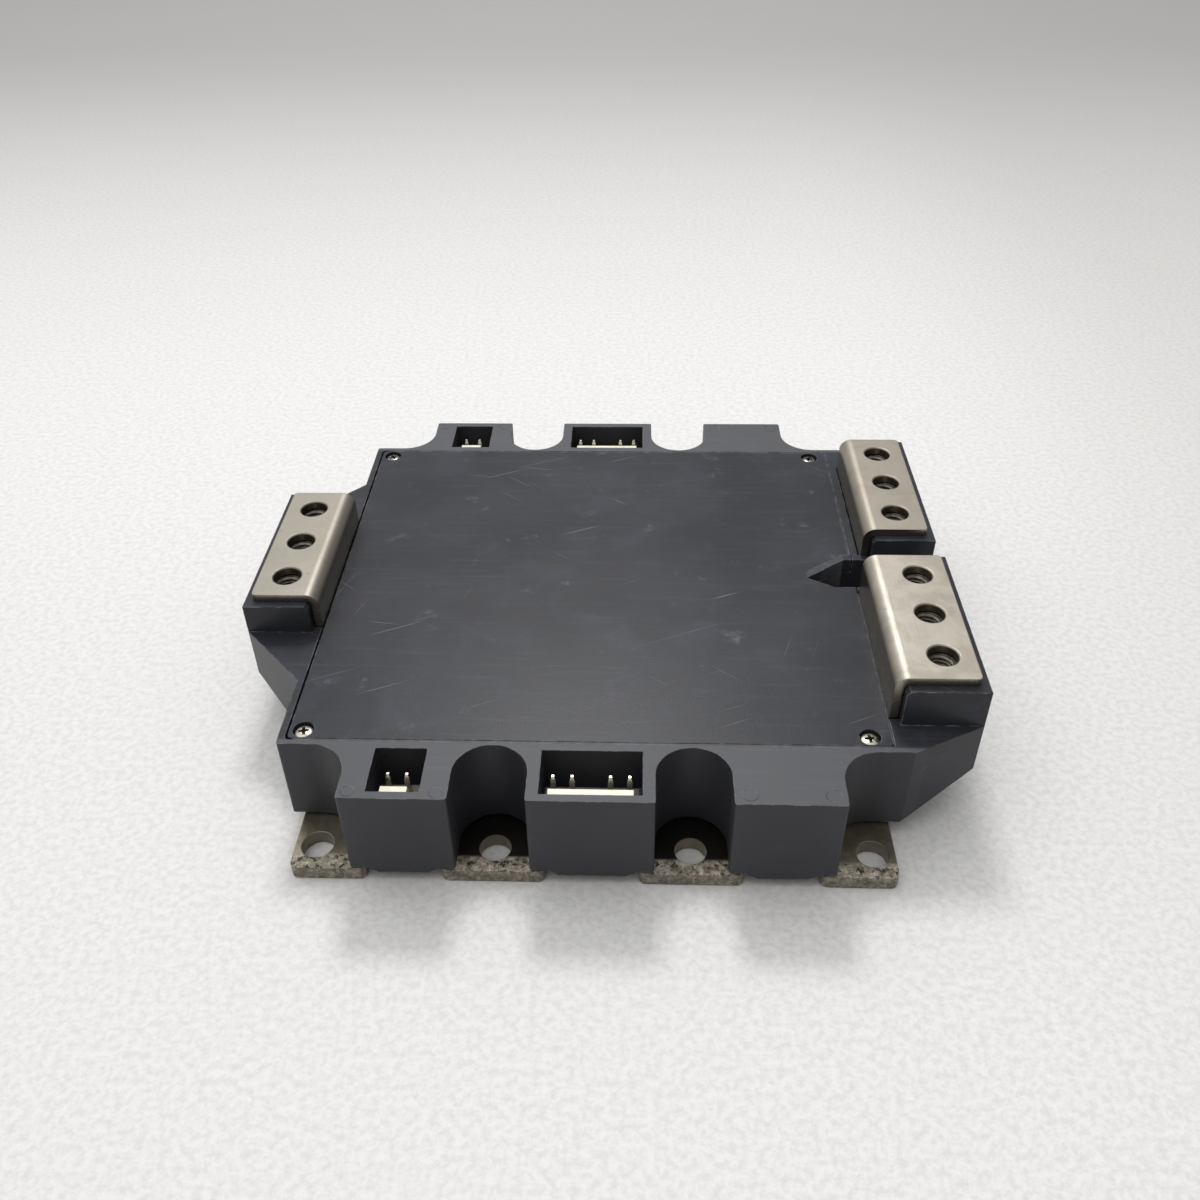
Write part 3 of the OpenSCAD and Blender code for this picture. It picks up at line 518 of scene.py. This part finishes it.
def cross_screw(mesh, centre, low, high, head_r, shaft_r, turn):
    """Pan-head screw with a cross recess: a domed ring of arms round a sunk cross, on its shaft."""
    head_low = high - 1.2 * MM
    arm, reach, sink = 0.3 * MM, 1.15 * MM, 1.0 * MM

    def top(r):
        return high - 0.3 * MM * (r / head_r) ** 3

    def surface(x, y):
        r = math.hypot(x, y)
        ax, ay = abs(x), abs(y)
        notch_shade = (ax < arm and ay < reach) or (ay < arm and ax < reach)
        return top(r) - (sink * (1 - 0.35 * max(ax, ay) / reach) if notch_shade else 0.0)

    cells = 46
    span = head_r
    verts = {}

    def vert(i, j):
        if (i, j) not in verts:
            x, y = (2 * i / cells - 1) * span, (2 * j / cells - 1) * span
            # square grid mapped onto the disc
            u, v = x / span, y / span
            x, y = span * u * math.sqrt(1 - v * v / 2), span * v * math.sqrt(1 - u * u / 2)
            ca, sa = math.cos(turn), math.sin(turn)
            verts[(i, j)] = mesh.verts.new((centre[0] + x * ca - y * sa,
                                            centre[1] + x * sa + y * ca, surface(x, y)))
        return verts[(i, j)]

    for i in range(cells):
        for j in range(cells):
            mesh.faces.new((vert(i, j), vert(i + 1, j), vert(i + 1, j + 1), vert(i, j + 1)))
    rim = ([vert(i, 0) for i in range(cells)] + [vert(cells, j) for j in range(cells)]
           + [vert(i, cells) for i in range(cells, 0, -1)]
           + [vert(0, j) for j in range(cells, 0, -1)])
    last = rim
    shaft = shaft_r / head_r
    for scale, z in ((1.0, head_low), (shaft, head_low), (shaft, low + 1 * MM), (0.1, low)):
        ring = [mesh.verts.new((centre[0] + (v.co.x - centre[0]) * scale,
                                centre[1] + (v.co.y - centre[1]) * scale, z)) for v in rim]
        for k in range(len(rim)):
            n = (k + 1) % len(rim)
            mesh.faces.new((last[k], last[n], ring[n], ring[k]))
        last = ring
    mesh.faces.new(last)


build = bmesh.new()
for turn, (centre, low, high) in zip((12, 40, 5, 66), solid_groups("lid_screws")):
    cross_screw(build, centre, low, high, 1.9 * MM, 1.1 * MM, math.radians(turn))
piece("lid_screws_crossed", finished(build, "lid_screws_crossed", 25), MATERIALS["lid_screws"],
      "lid_screws")


def witness_marks(mesh, spots, z):
    """Low rings that ejector pins leave on a moulded face; a spot is x, y and a radius."""
    for x, y, r in spots:
        revolve(mesh, [(r - 0.18 * MM, z - 0.05 * MM), (r - 0.1 * MM, z + 0.04 * MM),
                       (r + 0.02 * MM, z + 0.04 * MM), (r + 0.1 * MM, z - 0.05 * MM)], (x, y), 40)


lid_low, lid_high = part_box("lid")
# the lid's underside is its lowest point; its box reaches higher at the rib round the slot
lid_t = 2.5 * MM
rim_z = lid_low.z + lid_t
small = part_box("header_front_small")
tower_x = (small[0].x + small[1].x) / 2
marks = [(tower_x - 9.1 * MM, 73.1 * MM, 1.4 * MM), (tower_x + 8.9 * MM, 73.1 * MM, 1.4 * MM),
         (-tower_x - 8.1 * MM, 72.4 * MM, 1.65 * MM), (-tower_x + 8.6 * MM, 72.4 * MM, 1.65 * MM)]
build = bmesh.new()
witness_marks(build, [(x, side * y, r) for x, y, r in marks for side in (-1, 1)], rim_z)
piece("ejector_marks", finished(build, "ejector_marks"), HOUSING)


def seam_strips(mesh):
    """Plastic that fills the lid's front, back and right seams to just under the rim."""
    deep, sunk, seam, slack = 1.0 * MM, 0.08 * MM, 0.5 * MM, 0.02 * MM
    right = 0.3 * MM
    low_z, high_z = rim_z - deep, rim_z - sunk
    left_end, right_end = lid_low.x + 1.2 * MM, lid_high.x + right
    blocks = [((left_end + right_end) / 2, side * (lid_high.y + seam / 2),
               (right_end - left_end) / 2, seam / 2 - slack) for side in (-1, 1)]
    rib_end = 7 * MM
    blocks += [(lid_high.x + right / 2, side * (rib_end + lid_high.y) / 2, right / 2 - slack,
                (lid_high.y - rib_end) / 2) for side in (-1, 1)]
    for x, y, hx, hy in blocks:
        place = Matrix.Translation((x, y, (low_z + high_z) / 2))
        size = Matrix.Diagonal((2 * hx, 2 * hy, high_z - low_z, 1.0))
        bmesh.ops.create_cube(mesh, size=1.0, matrix=place @ size)


build = bmesh.new()
seam_strips(build)
piece("seam_strips", finished(build, "seam_strips"),
      plain_plastic("seam_plastic", "#303136", "#38393e", 0.42))


# ---------- stage, camera and lights ----------

def stage_floor():
    """Pale matt table with a faint grain, darker towards the back, and with painted shade towards the
    right.
    """
    s = Surface("pale_floor", roughness=0.6)
    grain = s.noise(1.6, detail=4, roughness=0.6)
    tone = s.mix(s.step(grain, 0.35, 0.7), rgb("#edecea"), rgb("#dedddb"))
    # darker towards the back
    tone = s.mix(s.times(s.step(s.along("Y"), 60, 700), 0.8), tone, rgb("#8f8e8c"))
    # painted shade: darker towards the right, away from the light
    tone = s.mix(s.times(s.step(s.along("X"), 80, 240), 0.3), tone, rgb("#a5a3a0"))
    s.color(tone)
    s.relief(grain, 0.15)
    mesh = bmesh.new()
    bmesh.ops.create_grid(mesh, x_segments=1, y_segments=1, size=3.0)
    data = bpy.data.meshes.new("floor")
    mesh.to_mesh(data)
    mesh.free()
    obj = bpy.data.objects.new("floor", data)
    bpy.context.scene.collection.objects.link(obj)
    obj.location.z = cad_low.z - 0.0002
    data.materials.append(s.material)
    obj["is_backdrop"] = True


def camera():
    """Camera at the viewing angle of the reference view: 37.5 degrees down, from the front."""
    data = bpy.data.cameras.new("camera")
    obj = bpy.data.objects.new("camera", data)
    bpy.context.scene.collection.objects.link(obj)
    position = Vector((8.54, -228.11, 199.60)) * MM
    forward = Vector((-0.03892, 0.79195, -0.60935)).normalized()
    roll = math.radians(-1.23)
    aim = forward.to_track_quat("-Z", "Y").to_matrix()
    turned = aim @ Matrix.Rotation(roll, 3, "Z")
    obj.matrix_world = Matrix.Translation(position) @ turned.to_4x4()
    data.sensor_width = 36.0
    data.lens = 34.29
    data.shift_x = 0.00825
    data.shift_y = -0.0182
    data.clip_start = 0.01
    bpy.context.scene.camera = obj


def area_light(name, position, target, size, power):
    data = bpy.data.lights.new(name, "AREA")
    data.shape = "RECTANGLE"
    data.size, data.size_y = size
    data.energy = power
    obj = bpy.data.objects.new(name, data)
    bpy.context.scene.collection.objects.link(obj)
    obj.location = position
    obj.rotation_euler = (Vector(target) - Vector(position)).to_track_quat("-Z", "Y").to_euler()


def studio():
    """Soft white surround, dimmer in front and on the right, with a lamp above and behind."""
    world = bpy.data.worlds.new("studio")
    bpy.context.scene.world = world
    world.use_nodes = True
    nodes, links = world.node_tree.nodes, world.node_tree.links
    split = nodes.new("ShaderNodeSeparateXYZ")
    links.new(nodes.new("ShaderNodeTexCoord").outputs["Generated"], split.inputs[0])
    strength = None
    for axis, span, dim, bright in (("Z", (0.5, 0.95), 0.46, 1.45), ("X", (0.4, -0.4), 0.62, 1.3),
                                    ("Y", (-0.8, 0.3), 0.62, 1.05)):
        ramp = nodes.new("ShaderNodeMapRange")
        links.new(split.outputs[axis], ramp.inputs["Value"])
        ramp.inputs["From Min"].default_value, ramp.inputs["From Max"].default_value = span
        ramp.inputs["To Min"].default_value = dim
        ramp.inputs["To Max"].default_value = bright
        if strength:
            product = nodes.new("ShaderNodeMath")
            product.operation = "MULTIPLY"
            links.new(strength, product.inputs[0])
            links.new(ramp.outputs["Result"], product.inputs[1])
            strength = product.outputs[0]
        else:
            strength = ramp.outputs["Result"]
    links.new(strength, nodes["Background"].inputs["Strength"])
    nodes["Background"].inputs["Color"].default_value = (1, 1, 1, 1)
    area_light("key", (-0.05, 0.68, 1.0), (0, 0, 0), (0.24, 0.22), 5.3)


stage_floor()
camera()
studio()
bpy.context.scene.view_settings.view_transform = "Standard"

low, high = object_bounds()
